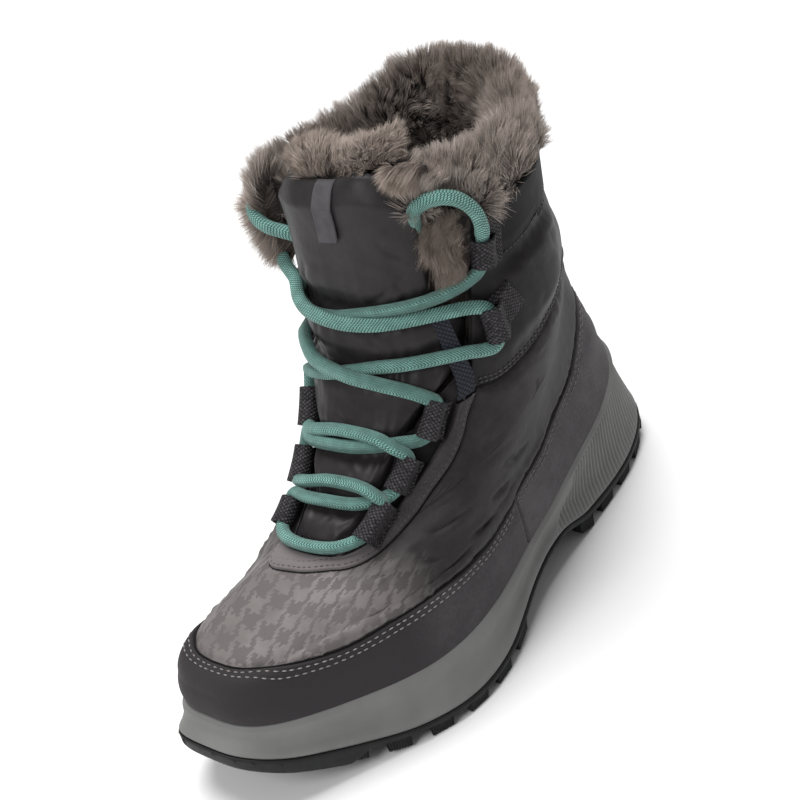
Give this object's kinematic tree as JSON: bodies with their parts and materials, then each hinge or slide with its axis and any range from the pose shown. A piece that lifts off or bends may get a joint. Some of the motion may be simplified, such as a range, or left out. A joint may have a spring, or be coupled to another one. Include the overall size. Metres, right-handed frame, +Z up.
{
  "type": "winter boot",
  "caption": "Ankle-high laced winter boot for the left foot, with a faux-fur lining and collar, foam midsole and lugged rubber outsole.",
  "frame": {"origin": "centre of the boot's box on the floor plane that its lugs stand on", "axes": "+Z up the shaft, -Y to the toe, +Y to the heel, +X to the outer (lateral) side of this left boot"},
  "size_m": [0.1275, 0.2861, 0.222],
  "materials": {
    "shell": "matte coated nylon",
    "foam": "matte grey EVA foam",
    "rubber": "black moulded rubber",
    "felt": "pile-covered insole",
    "fur": "brown-grey faux fur",
    "webbing": "dark speckled webbing",
    "lace": "teal braided polyester"
  },
  "bodies": {
    "root": {"upper": "shell", "midsole": "foam", "outsole": "rubber", "insole": "felt", "tongue": "shell", "collar_fur": "fur", "tongue_fur": "fur", "lace_loop_outer_1": "webbing", "lace_loop_outer_2": "webbing", "lace_loop_outer_3": "webbing", "lace_loop_outer_4": "webbing", "lace_loop_outer_5": "webbing", "lace_loop_inner_1": "webbing", "lace_loop_inner_2": "webbing", "lace_loop_inner_3": "webbing", "lace_loop_inner_4": "webbing", "lace_loop_inner_5": "webbing", "lace_bar_1": "lace", "lace_cross_2": "lace", "lace_cross_3": "lace", "lace_cross_4": "lace", "lace_cross_5": "lace", "lace_end_outer": "lace", "lace_end_inner": "lace"}
  },
  "joints": []
}
